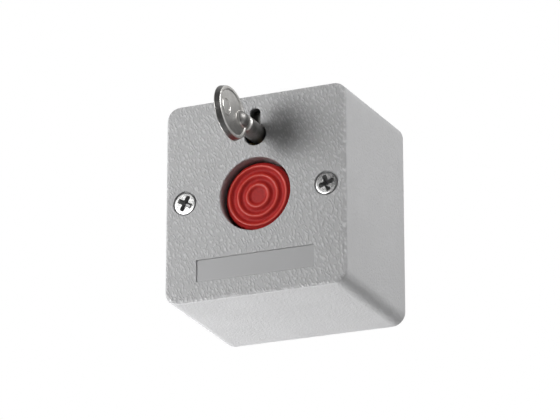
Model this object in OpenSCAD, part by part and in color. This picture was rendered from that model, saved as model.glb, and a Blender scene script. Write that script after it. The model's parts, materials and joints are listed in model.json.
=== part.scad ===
// Surface-mounted push button with key reset: a drafted plastic cover over a back plate,
// a recessed round button, and a lock whose key releases the pressed button.
// Origin: centre of the rear face that lies on the wall. +Y into the wall, +X right, +Z up.

/* [Cover] */
// width of the front face
cover_w = 66; // [65:0.5:68]
// height of the front face
cover_h = 70.5; // [69.5:0.5:73]
// depth from the wall to the front face
cover_d = 50; // [50:0.5:54]
// growth of each side from the front face to the wall
draft = 0.8; // [0.4:0.1:1.5]
// radius of the four long corners
corner_r = 4.75; // [3.5:0.25:5]
// rounding of the front edge
edge_r = 1.4; // [0.5:0.1:1.5]
// thickness of the side walls
side_wall = 2.5; // [2:0.1:2.8]
// thickness of the front wall
front_wall = 3; // [2.6:0.1:3.2]

/* [Label field] */
// width of the recessed label field
label_w = 42.8; // [36:0.1:46]
// height of the recessed label field
label_h = 7.9; // [6:0.1:9]
// height of the field's centre above the button axis
label_z = -24.6; // [-25:0.1:-22]
// depth of the field
label_depth = 0.5; // [0.3:0.1:0.8]

/* [Button] */
// radius of the round opening
well_r = 12.8; // [12.6:0.1:13.2]
// radial gap between the opening and the cap
cap_gap = 0.9; // [0.4:0.1:1]
// distance of the cap's ridges below the front face
cap_recess = 2.2; // [2:0.1:2.6]
// height of the concentric ridges
ridge_h = 0.8; // [0.4:0.1:1]
// spacing of the ridges
ridge_pitch = 3.25; // [3:0.05:3.3]
// travel when pressed
press_travel = 3.5; // [2:0.1:3.5]

/* [Key and lock] */
// height of the key's axis above the button axis
key_z = 21.7; // [21.3:0.1:21.9]
// distance of the round keyhole's centre below the key's axis
keyhole_drop = 0.7; // [0.3:0.1:0.7]
// radius of the round part of the keyhole
keyhole_r = 3.9; // [3.9:0.05:4.1]
// width of the slot above it
slot_w = 3.8; // [3.5:0.1:4.2]
// height of the slot's top above the key's axis
slot_top = 8.7; // [8.6:0.1:9.1]
// radius of the key barrel
barrel_r = 3.15; // [2.9:0.05:3.15]
// radius of the bow's round ends
bow_r = 9.15; // [9:0.05:10]
// length of the bow's straight sides, between its round ends
bow_straight = 3.6; // [2:0.2:4]
// thickness of the bow's rim
bow_t = 2.2; // [2:0.1:2.8]
// distance of the bow's centre in front of the cover
bow_out = 19.8; // [19.3:0.1:21]
// distance of the barrel's shoulder in front of the cover
shoulder_out = 9.8; // [9:0.1:10.4]
// angle of the key at rest, anticlockwise from the slot
key_rest = 4.2; // [0:0.1:6]

/* [Fasteners] */
// distance of each cover screw from the button axis
screw_x = 25.75; // [25.5:0.05:26]
// radius of the cover screw heads
screw_head_r = 4; // [3.7:0.05:4.1]
// half distance between the wall fixing holes, across
fix_x = 24; // [23.5:0.25:25]
// half distance between the wall fixing holes, up
fix_z = 27; // [26:0.25:27.5]
// radius of the wall fixing holes
fix_r = 2.25; // [1.75:0.05:2.5]
// radius of the cable entry
cable_r = 6; // [4:0.25:6]

/* [Hidden] */
fine = 96;
medium = 48;
hull_fn = 32;
tiny_gap = 0.03;
slide_gap = 0.05;
front_y = -cover_d;
inner_y = front_y + front_wall;
plate_t = 3;
plate_gap = 0.4;
plate_r = max(1, corner_r - side_wall);
cut = 1;
boss_h = 3;
boss_r = 5;
post_r = 4.6;
post_gap = 0.3;
standoff_r = 3;
board_post_r = 2.6;
sink_land = 0.4;
sink_depth = 2.4;
screw_r = 2;
screw_clear = 2.2;
screw_end = -34;
head_below = 0.12;
head_land = 0.2;
insert_r = 3;
insert_h = 6.1;
collar_r = well_r + 1.7;
collar_end = inner_y + 6;
cap_r = well_r - cap_gap;
cap_top = front_y + cap_recess;
cap_valley = cap_top + ridge_h;
cap_inside = cap_valley + 1.8;
cap_wall = 1.6;
cap_edge = 1.2;
disc_r = ridge_pitch * 0.62;
crest_r = ridge_pitch * 1.2;
flange_front = collar_end + 0.3;
flange_rear = flange_front + 1.3;
flange_r = collar_r - 0.4;
bracket_front = -32;
bracket_rear = -30;
guide_front = -36;
plunger_r = 3;
socket_r = 4.8;
socket_end = cap_inside + 5.2;
spring_r = 6;
spring_wire = 0.35;
spring_turns = 5;
tip_r = 1.5;
tip_y = -26.3;
groove_y = -29.2 - press_travel;
clip_front = -29.5;
clip_rear = -28.9;
rivet_x = -16.5;
rivet_z = 8;
rivet_r = 1.2;
rivet_head_r = 2.3;
clip_eye_r = 2.9;
finger_z = key_z + 2.5;
rotor_r = 6;
rotor_front = -44.6;
rotor_rear = bracket_front - 0.3;
journal_r = 4;
journal_rear = -29.62;
spigot = 3.6;
cam_rear = -28.8;
cam_r = 4.8;
cam_reach = 7;
cam_tip_r = 2;
bore_r = 1.7;
neck_r = 1.9;
web = 0.75;
mark_r = 2.8;
mark_wire = 0.25;
bit_t = slot_w - 0.6;
key_rear = -38.4;
bit_front = -46;
bit_rear = -39.5;
bit_top = slot_top - 0.4;
bracket_x = 15.5;
bracket_top = 28;
bracket_low = -21;
board_front = -12;
board_rear = -10.4;
board_x = 17.5;
board_top = 13.5;
board_low = -11.5;
bracket_screw_r = 1.5;
bracket_screw_end = -21;
bracket_head_h = 2.1;
board_screw_r = 1.25;
board_screw_end = -6;
board_head_h = 1.7;
switch_top = -20;
pivot_x = 9;
pivot_y = -20.8;
lever_rest = 21;
lever_half = 2.3;
lever_t = 0.4;
lever_long = 13;
button_x = 5.5;
button_front = -20.9;
contact_r = 0.6;
contact_pitch = 8;
contact_x = 0.5;
bush_y = -14.6;
pole_pitch = 6;
pole_z = -10.5;
block_low = -14.5;
block_high = -6.5;
block_half = 9.2;
block_front = -21;
wire_r = 1.5;
clamp_front = -16.1;
clamp_rear = -12.9;
pin_r = 0.5;
pin_out = 1.6;
cable_z = -25;

// ---- helpers -------------------------------------------------------------

// a round rod along Y between two depths
module rod_y(r, y0, y1, x = 0, z = 0) {
    translate([x, y0, z])
        rotate([-90, 0, 0])
            cylinder(r = r, h = y1 - y0, $fn = fine);
}

// a cone along Y, r0 at y0 and r1 at y1
module cone_y(r0, r1, y0, y1, x = 0, z = 0) {
    translate([x, y0, z])
        rotate([-90, 0, 0])
            cylinder(r1 = r0, r2 = r1, h = y1 - y0, $fn = fine);
}

// a flat outline in X and Z, given thickness between two depths
module slab_y(y0, y1) {
    translate([0, y1, 0])
        rotate([90, 0, 0])
            linear_extrude(height = y1 - y0)
                children();
}

// a profile of radius and depth, turned about the Y axis
module turned_y(x = 0, z = 0) {
    translate([x, 0, z])
        rotate([-90, 0, 0])
            rotate_extrude($fn = fine)
                children();
}

// a block between two corners
module block(lo, hi) {
    translate(lo)
        cube([hi[0] - lo[0], hi[1] - lo[1], hi[2] - lo[2]]);
}

// a rectangle with rounded corners
module rounded(w, h, r) {
    square([w - 2 * r, h], center = true);
    square([w, h - 2 * r], center = true);
    for (sx = [-1, 1], sz = [-1, 1])
        translate([sx * (w / 2 - r), sz * (h / 2 - r)])
            circle(r = r, $fn = medium);
}

// the drafted box, from its rear outline to its rounded front
module drafted(w, h, r, e, y_front, y_rear, grow) {
    hull() {
        for (sx = [-1, 1], sz = [-1, 1]) {
            translate([sx * (w / 2 - r), y_front, sz * (h / 2 - r)])
                rotate([-90, 0, 0])
                    rotate_extrude($fn = hull_fn)
                        polygon(concat(
                            [[0, 0]],
                            [for (a = [0 : 15 : 90])
                                [r - e + e * sin(a), e - e * cos(a)]],
                            [[0, e]]));
            translate([sx * (w / 2 + grow - r), y_rear - 0.2,
                sz * (h / 2 + grow - r)])
                rotate([-90, 0, 0])
                    cylinder(r = r, h = 0.2, $fn = hull_fn);
        }
    }
}

// ---- housing -------------------------------------------------------------

module front_cover() {
    sink_r = screw_head_r + 0.2;
    color([0.66, 0.66, 0.67])
        difference() {
            union() {
                difference() {
                    drafted(cover_w, cover_h, corner_r, edge_r, front_y, 0,
                        draft);
                    drafted(cover_w - 2 * side_wall, cover_h - 2 * side_wall,
                        corner_r - side_wall + 0.4, 0.4, inner_y, 1,
                        draft * (cover_d + 1) / cover_d);
                }
                rod_y(collar_r, inner_y - 0.5, collar_end);
                for (s = [-1, 1])
                    rod_y(boss_r, inner_y - 0.5, inner_y + boss_h, s * screw_x);
            }
            rod_y(well_r, front_y - cut, collar_end + cut);
            for (s = [-1, 1]) {
                rod_y(screw_clear, front_y - cut, inner_y + boss_h + cut,
                    s * screw_x);
                cone_y(sink_r, screw_clear, front_y + sink_land,
                    front_y + sink_depth, s * screw_x);
                rod_y(sink_r, front_y - cut, front_y + sink_land + 0.01,
                    s * screw_x);
            }
            rod_y(keyhole_r, front_y - cut, inner_y + cut, 0,
                key_z - keyhole_drop);
            rod_y(slot_w / 2, front_y - cut, inner_y + cut, 0,
                key_z + slot_top - slot_w / 2);
            block([-slot_w / 2, front_y - cut, key_z],
                [slot_w / 2, inner_y + cut, key_z + slot_top - slot_w / 2]);
            block([-label_w / 2, front_y - cut, label_z - label_h / 2],
                [label_w / 2, front_y + label_depth, label_z + label_h / 2]);
        }
}

module back_plate() {
    post_front = inner_y + boss_h + post_gap;
    post_root = -plate_t + 0.5;
    plate_w = cover_w + 2 * draft - 2 * side_wall - 2 * plate_gap;
    plate_h = cover_h + 2 * draft - 2 * side_wall - 2 * plate_gap;
    color([0.2, 0.2, 0.21])
        difference() {
            union() {
                slab_y(-plate_t, 0)
                    rounded(plate_w, plate_h, plate_r);
                for (s = [-1, 1])
                    rod_y(post_r, post_front, post_root, s * screw_x);
                for (s = [-1, 1], z = [bracket_low, bracket_top])
                    rod_y(standoff_r, bracket_rear, post_root,
                        s * bracket_x, z);
                for (s = [-1, 1], z = [board_low, board_top])
                    rod_y(board_post_r, board_rear, post_root,
                        s * board_x, z);
            }
            for (s = [-1, 1])
                rod_y(insert_r + tiny_gap, post_front - cut,
                    screw_end + 2, s * screw_x);
            for (s = [-1, 1], z = [bracket_low, bracket_top])
                rod_y(bracket_screw_r + tiny_gap, bracket_rear - cut,
                    bracket_screw_end + 1, s * bracket_x, z);
            for (s = [-1, 1], z = [board_low, board_top])
                rod_y(board_screw_r + tiny_gap, board_rear - cut,
                    board_screw_end + 1, s * board_x, z);
            for (sx = [-1, 1], sz = [-1, 1])
                rod_y(fix_r, -plate_t - cut, cut, sx * fix_x, sz * fix_z);
            rod_y(cable_r, -plate_t - cut, cut, 0, cable_z);
        }
}

// a cross recess, cut from the front of a screw head
module cross_cut(y, half, depth, x, z, turn) {
    arm = half * 0.24;
    translate([x, y, z])
        rotate([0, turn, 0])
            union() {
                block([-half, -cut, -arm], [half, depth, arm]);
                block([-arm, -cut, -half], [arm, depth, half]);
            }
}

module cover_screws() {
    head_y = front_y + head_below;
    color([0.78, 0.78, 0.76])
        for (s = [-1, 1])
            difference() {
                turned_y(s * screw_x)
                    polygon([[0, head_y], [screw_head_r, head_y],
                        [screw_head_r, head_y + head_land],
                        [screw_r, head_y + screw_head_r - 1.85],
                        [screw_r, screw_end - 0.4],
                        [screw_r - 0.5, screw_end], [0, screw_end]]);
                cross_cut(head_y, 2.2, 1.3, s * screw_x, 0,
                    s < 0 ? 28 : -17);
            }
}

module threaded_inserts() {
    top = inner_y + boss_h + post_gap + 0.1;
    color([0.72, 0.58, 0.3])
        for (s = [-1, 1])
            difference() {
                turned_y(s * screw_x)
                    polygon([[0, top], [insert_r, top],
                        [insert_r, top + 2], [insert_r - 0.2, top + 2.2],
                        [insert_r - 0.2, top + 2.8], [insert_r, top + 3],
                        [insert_r, top + insert_h], [0, top + insert_h]]);
                rod_y(screw_r + tiny_gap, inner_y, top + insert_h + cut,
                    s * screw_x);
            }
}

// ---- mechanism carrier ---------------------------------------------------

module mechanism_bracket() {
    window_x = 12;
    color([0.75, 0.75, 0.72])
        difference() {
            union() {
                slab_y(bracket_front, bracket_rear)
                    translate([0, 3])
                        rounded(39, 56, 2);
                rod_y(5, guide_front, bracket_front + 0.5);
                rod_y(2.6, bracket_rear - 0.5, clip_front - tiny_gap,
                    rivet_x, rivet_z);
            }
            rod_y(plunger_r + slide_gap, guide_front - cut,
                bracket_rear + cut);
            rod_y(journal_r + slide_gap, bracket_front - cut,
                bracket_rear + cut, 0, key_z);
            for (s = [-1, 1], z = [bracket_low, bracket_top])
                rod_y(bracket_screw_r + 0.2, bracket_front - cut,
                    bracket_rear + cut, s * bracket_x, z);
            rod_y(rivet_r + tiny_gap, bracket_front - cut,
                clip_front + cut, rivet_x, rivet_z);
            for (s = [-1, 1])
                slab_y(bracket_front - cut, bracket_rear + cut)
                    translate([s * window_x, -6])
                        rounded(6, 16, 2.9);
        }
}

module bracket_screws() {
    top = bracket_front - bracket_head_h;
    color([0.7, 0.7, 0.7])
        for (s = [-1, 1], z = [bracket_low, bracket_top])
            difference() {
                turned_y(s * bracket_x, z)
                    polygon([[0, top], [2.2, top], [2.8, top + 0.8],
                        [2.8, bracket_front - tiny_gap],
                        [bracket_screw_r, bracket_front - tiny_gap],
                        [bracket_screw_r, bracket_screw_end - 0.4],
                        [bracket_screw_r - 0.4, bracket_screw_end],
                        [0, bracket_screw_end]]);
                cross_cut(top, 1.5, 1.1, s * bracket_x, z, 20);
            }
}

module latch_clip() {
    nose_z = plunger_r + 0.35;
    arm_x = -12.1;
    color([0.6, 0.62, 0.66])
        difference() {
            slab_y(clip_front, clip_rear)
                union() {
                    translate([rivet_x, rivet_z])
                        circle(r = clip_eye_r, $fn = medium);
                    polygon([[rivet_x - 1, nose_z + 2.05], [-4, nose_z],
                        [2.2, nose_z], [2.8, nose_z + 0.85],
                        [2.4, nose_z + 2.25], [-4, nose_z + 2.25],
                        [arm_x + 2.2, nose_z + 3.25],
                        [arm_x + 2.2, finger_z], [-5.4, finger_z],
                        [-5.1, finger_z + 0.9], [-5.6, finger_z + 1.8],
                        [arm_x, finger_z + 1.8], [arm_x, nose_z + 4.25],
                        [rivet_x + 1, rivet_z + 2.6]]);
                }
            rod_y(rivet_r + tiny_gap, clip_front - cut, clip_rear + cut,
                rivet_x, rivet_z);
        }
}

module latch_rivet() {
    color([0.8, 0.8, 0.78])
        turned_y(rivet_x, rivet_z)
            polygon([[0, bracket_front - 0.9], [1.6, bracket_front - 0.9],
                [rivet_head_r, bracket_front - 0.3],
                [rivet_head_r, bracket_front - tiny_gap],
                [rivet_r, bracket_front - tiny_gap],
                [rivet_r, clip_rear + tiny_gap],
                [rivet_head_r, clip_rear + tiny_gap],
                [rivet_head_r, clip_rear + 0.4], [1.6, clip_rear + 0.9],
                [0, clip_rear + 0.9]]);
}

// ---- board, terminals and switch -----------------------------------------

module circuit_board() {
    color([0.1, 0.35, 0.2])
        difference() {
            slab_y(board_front, board_rear)
                translate([0, 1])
                    rounded(41, 32, 1);
            for (s = [-1, 1], z = [board_low, board_top])
                rod_y(board_screw_r + 0.1, board_front - cut,
                    board_rear + cut, s * board_x, z);
            for (k = [-1, 0, 1]) {
                rod_y(pin_r + 0.1, board_front - cut, board_rear + cut,
                    contact_x + contact_pitch * k, 0);
                rod_y(pin_r + 0.1, board_front - cut, board_rear + cut,
                    pole_pitch * k, pole_z);
            }
        }
}

module board_screws() {
    top = board_front - board_head_h;
    color([0.7, 0.7, 0.7])
        for (s = [-1, 1], z = [board_low, board_top])
            difference() {
                turned_y(s * board_x, z)
                    polygon([[0, top], [1.8, top], [2.3, top + 0.6],
                        [2.3, board_front - tiny_gap],
                        [board_screw_r, board_front - tiny_gap],
                        [board_screw_r, board_screw_end - 0.3],
                        [board_screw_r - 0.35, board_screw_end],
                        [0, board_screw_end]]);
                cross_cut(top, 1.2, 0.9, s * board_x, z, 12);
            }
}

module terminal_block() {
    color([0.12, 0.4, 0.26])
        difference() {
            block([-block_half, block_front, block_low],
                [block_half, board_front - tiny_gap, block_high]);
            for (k = [-1, 0, 1]) {
                rod_y(2, block_front - cut, -16, pole_pitch * k, pole_z);
                block([pole_pitch * k - 2.1, clamp_front - 0.1, pole_z - 2.5],
                    [pole_pitch * k + 2.1, board_front - 0.8, pole_z + 2.5]);
                translate([pole_pitch * k, bush_y, block_low - cut])
                    cylinder(r = wire_r, h = 3, $fn = medium);
                rod_y(pin_r + 0.1, -13.5, board_front + cut,
                    pole_pitch * k, pole_z);
            }
            block([-block_half - cut, block_front - cut, block_low - cut],
                [block_half + cut, block_front + 1.6, block_low + 1.6]);
        }
}

module terminal_clamps() {
    color([0.75, 0.62, 0.35])
        for (k = [-1, 0, 1])
            difference() {
                block([pole_pitch * k - 2, clamp_front, pole_z - 2.3],
                    [pole_pitch * k + 2, clamp_rear, pole_z + 2.3]);
                block([pole_pitch * k - 1.4, clamp_front + 0.9, pole_z - 3],
                    [pole_pitch * k + 1.4, clamp_rear - 0.5, pole_z + 3]);
                rod_y(1.25, clamp_front - cut, clamp_front + 1.3,
                    pole_pitch * k, pole_z);
            }
}

module terminal_screws() {
    top = block_front + 0.8;
    slot = 0.25;
    color([0.8, 0.8, 0.76])
        for (k = [-1, 0, 1])
            difference() {
                turned_y(pole_pitch * k, pole_z)
                    polygon([[0, top], [1.8, top], [1.8, top + 1.8],
                        [1.2, top + 1.8], [1.2, -15], [0, -15]]);
                block([pole_pitch * k - 2, top - cut, pole_z - slot],
                    [pole_pitch * k + 2, top + 0.8, pole_z + slot]);
            }
}

module terminal_pins() {
    color([0.8, 0.8, 0.78])
        for (k = [-1, 0, 1])
            rod_y(pin_r, clamp_rear + tiny_gap, board_rear + pin_out,
                pole_pitch * k, pole_z);
}

module switch_body() {
    color([0.14, 0.14, 0.15])
        difference() {
            union() {
                block([-9.5, switch_top, -3.2],
                    [10.5, board_front - tiny_gap, 3.2]);
                for (s = [-1, 1])
                    block([pivot_x - 1.3, switch_top - 1.9,
                        s * 2.9 - 0.3], [pivot_x + 1.3, switch_top + 0.5,
                        s * 2.9 + 0.3]);
            }
            translate([pivot_x, pivot_y, -2.6])
                cylinder(r = 1.4, h = 5.2, $fn = medium);
            translate([pivot_x, pivot_y, -4])
                cylinder(r = pin_r + tiny_gap, h = 8, $fn = medium);
            rod_y(contact_r + slide_gap, switch_top - cut, -15.5, button_x);
            for (x = [-6, 6.5])
                translate([x, bush_y, -4])
                    cylinder(r = 1.1, h = 8, $fn = medium);
        }
}

module switch_terminals() {
    color([0.8, 0.78, 0.7])
        for (k = [-1, 0, 1])
            rod_y(pin_r, board_front - tiny_gap + 0.01,
                board_rear + pin_out, contact_x + contact_pitch * k, 0);
}

module switch_pivot() {
    color([0.75, 0.75, 0.75])
        translate([pivot_x, pivot_y, -3.4])
            cylinder(r = pin_r, h = 6.8, $fn = medium);
}

module switch_button() {
    color([0.7, 0.15, 0.1])
        union() {
            rod_y(contact_r, button_front, -17.5, button_x);
            translate([button_x, button_front, 0])
                sphere(r = contact_r, $fn = medium);
        }
}

module switch_lever() {
    color([0.78, 0.78, 0.76])
        difference() {
            translate([pivot_x, pivot_y, 0])
                rotate([0, 0, lever_rest])
                    union() {
                        translate([0, 0, -lever_half])
                            cylinder(r = 0.95, h = 2 * lever_half,
                                $fn = medium);
                        block([-lever_long, -lever_t / 2, -lever_half],
                            [0, lever_t / 2, lever_half]);
                    }
            translate([pivot_x, pivot_y, -3])
                cylinder(r = pin_r + slide_gap, h = 6, $fn = medium);
        }
}

// ---- button --------------------------------------------------------------

// depth of the cap's front at a radius: a flat disc, then three round ridges
function ridge_y(r) = r < disc_r
    ? cap_valley - ridge_h * 0.35
    : cap_valley - ridge_h * (0.5 + 0.5
        * cos(360 * (r - crest_r) / ridge_pitch));

module button_cap() {
    color([0.68, 0.1, 0.09])
        union() {
            difference() {
                turned_y()
                    polygon(concat(
                        [[0, ridge_y(0)]],
                        [for (r = [disc_r : 0.25 : cap_r - cap_edge])
                            [r, ridge_y(r)]],
                        [for (a = [15 : 15 : 90])
                            [cap_r - cap_edge + cap_edge * sin(a),
                            cap_valley - 0.2 + cap_edge * (1 - cos(a))]],
                        [[cap_r, flange_front], [flange_r, flange_front],
                        [flange_r, flange_rear],
                        [cap_r - cap_wall, flange_rear],
                        [cap_r - cap_wall, cap_inside],
                        [0, cap_inside]]));
            }
            difference() {
                rod_y(socket_r, cap_inside - 0.3, socket_end);
                rod_y(plunger_r + tiny_gap, cap_inside, socket_end + 1);
            }
        }
}

module button_plunger() {
    color([0.86, 0.86, 0.82])
        union() {
            turned_y()
                polygon([[0, cap_inside + tiny_gap],
                    [plunger_r - 0.3, cap_inside + tiny_gap],
                    [plunger_r, cap_inside + 0.4],
                    [plunger_r, groove_y - 0.7],
                    [2.2, groove_y - 0.7], [2.2, groove_y + 0.7],
                    [plunger_r, groove_y + 0.7], [plunger_r, -28.9],
                    [2.4, -28.9], [2.4, -28.3], [plunger_r, -28.3],
                    [plunger_r, -28], [tip_r, tip_y - 0.1],
                    [tip_r, tip_y], [0, tip_y]]);
            translate([0, tip_y, 0])
                sphere(r = tip_r, $fn = medium);
        }
}

module plunger_clip() {
    color([0.45, 0.46, 0.48])
        slab_y(-28.85, -28.35)
            difference() {
                circle(r = 4.5, $fn = fine);
                circle(r = 2.43, $fn = fine);
                translate([-1.9, -5])
                    square([3.8, 5]);
            }
}

// one ring of points round the wire at each step of the coil
function coil_ring(t, sides) = let (
        turn = t * 360 * spring_turns,
        y = cap_inside + 0.4 + t
            * (bracket_front - 0.4 - cap_inside - 0.4))
    [for (k = [0 : sides - 1]) let (
            a = 360 * k / sides,
            r = spring_r + spring_wire * cos(a))
        [r * cos(turn), y + spring_wire * sin(a), r * sin(turn)]];

module return_spring() {
    steps = spring_turns * 24;
    sides = 8;
    points = [for (s = [0 : steps]) each coil_ring(s / steps, sides)];
    walls = [for (s = [0 : steps - 1], k = [0 : sides - 1]) let (
            n = (k + 1) % sides)
        [s * sides + n, s * sides + k, (s + 1) * sides + k,
            (s + 1) * sides + n]];
    first = [for (k = [0 : sides - 1]) k];
    last = [for (k = [sides - 1 : -1 : 0]) steps * sides + k];
    color([0.72, 0.73, 0.75])
        polyhedron(points = points, faces = concat(walls, [first], [last]));
}

// ---- key and lock --------------------------------------------------------

// half of a section through the bow: a thin web inside a thicker rim
module bow_section() {
    rim = bow_t / 2;
    polygon([[0, -web], [bow_r - 1.3, -web],
        [bow_r - 1, -rim], [bow_r - 0.4, -rim],
        [bow_r - 0.1, -rim + 0.3],
        [bow_r, -rim + 0.6], [bow_r, rim - 0.6],
        [bow_r - 0.1, rim - 0.3],
        [bow_r - 0.4, rim], [bow_r - 1, rim],
        [bow_r - 1.3, web], [0, web]]);
}

// the oval bow: two round ends with a short straight part between them
module key_bow() {
    translate([0, front_y - bow_out, key_z])
        rotate([0, 90, 0])
            for (half = [0, 180])
                rotate([0, 0, half]) {
                    translate([0, bow_straight / 2, 0])
                        rotate_extrude(angle = 180, $fn = fine)
                            bow_section();
                    rotate([90, 0, 0])
                        linear_extrude(bow_straight, center = true)
                            bow_section();
                }
}

// turns a piece of the lock about the key's axis, to the key's rest angle
module at_rest() {
    translate([0, 0, key_z])
        rotate([0, -key_rest, 0])
            translate([0, 0, -key_z])
                children();
}

module key() {
    shoulder = front_y - shoulder_out;
    nose = shoulder - 0.9;
    root_r = neck_r + 1.1;
    color([0.74, 0.73, 0.7])
        at_rest()
            difference() {
                union() {
                    turned_y(0, key_z)
                        polygon([[0, key_rear], [barrel_r - 0.3, key_rear],
                            [barrel_r, key_rear - 0.3],
                            [barrel_r, shoulder + 0.9],
                            [barrel_r - 0.25, shoulder + 0.35],
                            [barrel_r - 0.8, shoulder],
                            [neck_r, shoulder - 0.1], [neck_r, nose],
                            [root_r - 0.3, nose - 0.3],
                            [root_r, nose - 0.8],
                            [root_r, nose - 2.4],
                            [root_r - 0.4, nose - 3.9],
                            [root_r - 1.3, nose - 5],
                            [0, nose - 5.7]]);
                    key_bow();
                    block([-bit_t / 2, bit_front, key_z + 2],
                        [bit_t / 2, bit_rear, key_z + bit_top]);
                    for (s = [-1, 1])
                        translate([s * web, front_y - bow_out - 4.8,
                            key_z + 0.4])
                            rotate([0, 90, 0])
                                rotate_extrude($fn = medium)
                                    translate([mark_r, 0])
                                        circle(r = mark_wire, $fn = 16);
                }
                rod_y(bore_r, -47, key_rear + cut, 0, key_z);
                block([-bit_t, -43.4, key_z + 5.8],
                    [bit_t, -42, key_z + bit_top + cut]);
            }
}

module lock_rotor() {
    color([0.75, 0.66, 0.42])
        difference() {
            union() {
                rod_y(rotor_r, rotor_front, rotor_rear, 0, key_z);
                rod_y(journal_r, rotor_rear - 0.1, journal_rear, 0, key_z);
                block([-spigot / 2, journal_rear - 0.1,
                    key_z - spigot / 2],
                    [spigot / 2, cam_rear - 0.1, key_z + spigot / 2]);
            }
            difference() {
                rod_y(barrel_r + 0.2, rotor_front - cut, key_rear + 0.3, 0,
                    key_z);
                rod_y(bore_r - 0.1, rotor_front - 2 * cut, key_rear + 0.4, 0,
                    key_z);
            }
            at_rest()
                block([-bit_t / 2 - 0.15, rotor_front - cut, key_z + 2.4],
                    [bit_t / 2 + 0.15, bit_rear + 0.2,
                    key_z + rotor_r + 1]);
            rod_y(1.23, -35, -28, 0, key_z);
        }
}

module release_cam() {
    hole = spigot / 2 + tiny_gap;
    color([0.82, 0.82, 0.8])
        difference() {
            slab_y(journal_rear + tiny_gap, cam_rear)
                translate([0, key_z])
                    union() {
                        circle(r = cam_r, $fn = fine);
                        translate([-cam_reach, 0])
                            circle(r = cam_tip_r, $fn = medium);
                        polygon([[-cam_reach, -cam_tip_r], [0, -4], [0, 4],
                            [-cam_reach, cam_tip_r]]);
                    }
            block([-hole, -31, key_z - hole], [hole, -28, key_z + hole]);
        }
}

module cam_screw() {
    color([0.7, 0.7, 0.7])
        difference() {
            turned_y(0, key_z)
                polygon([[0, -34.5], [1, -34.5], [1.2, -34.2],
                    [1.2, cam_rear + tiny_gap],
                    [3, cam_rear + tiny_gap], [3, cam_rear + 1],
                    [2.4, cam_rear + 1.6], [0, cam_rear + 1.6]]);
            block([-1.5, cam_rear + 0.8, key_z - 0.3],
                [1.5, cam_rear + 2, key_z + 0.3]);
            block([-0.3, cam_rear + 0.8, key_z - 1.5],
                [0.3, cam_rear + 2, key_z + 1.5]);
        }
}

front_cover();
back_plate();
cover_screws();
threaded_inserts();
mechanism_bracket();
bracket_screws();
latch_clip();
latch_rivet();
circuit_board();
board_screws();
terminal_block();
terminal_clamps();
terminal_screws();
terminal_pins();
switch_body();
switch_terminals();
switch_pivot();
switch_button();
switch_lever();
button_cap();
button_plunger();
plunger_clip();
return_spring();
key();
lock_rotor();
release_cam();
cam_screw();
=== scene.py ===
"""A wall push button with key reset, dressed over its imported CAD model.

Lengths are metres in the CAD model's own frame: +Y into the wall, +X right, +Z up.
"""

import json
import math

import bmesh
import bpy
from mathutils import Matrix, Vector


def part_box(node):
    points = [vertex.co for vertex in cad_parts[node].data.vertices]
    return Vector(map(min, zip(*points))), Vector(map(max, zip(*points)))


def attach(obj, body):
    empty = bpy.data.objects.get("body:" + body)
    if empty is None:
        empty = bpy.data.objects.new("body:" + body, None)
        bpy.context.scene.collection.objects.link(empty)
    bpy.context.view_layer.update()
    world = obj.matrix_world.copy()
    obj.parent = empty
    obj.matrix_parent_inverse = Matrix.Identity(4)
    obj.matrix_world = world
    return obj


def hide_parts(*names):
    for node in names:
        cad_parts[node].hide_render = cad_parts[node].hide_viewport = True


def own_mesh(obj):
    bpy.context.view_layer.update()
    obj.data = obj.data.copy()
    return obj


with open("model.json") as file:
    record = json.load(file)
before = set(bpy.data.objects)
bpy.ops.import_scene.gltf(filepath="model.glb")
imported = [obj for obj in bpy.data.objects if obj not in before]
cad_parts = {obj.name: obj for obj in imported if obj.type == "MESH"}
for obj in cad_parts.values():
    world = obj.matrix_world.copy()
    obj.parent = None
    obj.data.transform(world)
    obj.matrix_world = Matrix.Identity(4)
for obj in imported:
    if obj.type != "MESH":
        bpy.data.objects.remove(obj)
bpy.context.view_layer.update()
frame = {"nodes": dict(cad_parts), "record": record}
nodes = frame["nodes"]

MM = 0.001
PI = math.pi
PAST = 1 * MM                           # how far a cutter reaches past a face
INTO = 0.5 * MM                         # how deep an added solid starts in its neighbour


# ---------------------------------------------------------------- sizes

cover_lo, cover_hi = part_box("front_cover")
screw_lo, screw_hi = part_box("cover_screws")
cap_lo, cap_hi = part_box("button_cap")
key_lo, key_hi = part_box("key")
spring_lo, spring_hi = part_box("return_spring")

FRONT = cover_lo.y                      # the front face
REAR = cover_hi.y                       # the face on the wall
REAR_W = cover_hi.x - cover_lo.x
REAR_H = cover_hi.z - cover_lo.z
DRAFT = 0.8 * MM                        # growth of each side towards the wall
FRONT_W = REAR_W - 2 * DRAFT
FRONT_H = REAR_H - 2 * DRAFT
CORNER_R = 4.75 * MM
EDGE_R = 1.4 * MM                       # rounding of the front's edge
REAR_EDGE_R = 0.25 * MM
SIDE_WALL = 2.5 * MM
FRONT_WALL = 3.0 * MM
INNER = FRONT + FRONT_WALL              # inside of the front wall
INNER_R = CORNER_R - SIDE_WALL + 0.4 * MM

WELL_R = 12.8 * MM                      # round opening in front of the button
COLLAR_R = WELL_R + 1.7 * MM
COLLAR_END = INNER + 6 * MM
LIP = 0.35 * MM                         # rounding of the openings' edges

LABEL_W = 42.8 * MM
LABEL_H = 7.9 * MM
LABEL_Z = -24.6 * MM
LABEL_DEPTH = 0.4 * MM

HEAD_R = (screw_hi.z - screw_lo.z) / 2
SCREW_X = screw_hi.x - HEAD_R
SINK_R = HEAD_R + 0.2 * MM
SINK_MOUTH_R = SINK_R + 0.12 * MM
SCREW_HOLE_R = 2.2 * MM
SCREW_BOSS_R = 5 * MM
SHANK_R = 2 * MM
THREAD_R = 1.98 * MM
THREAD_ROOT_R = 1.62 * MM
THREAD_PITCH = 0.7 * MM
CROSS_DEPTH = 2.3 * MM                  # of the driver's cross in the head

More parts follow.
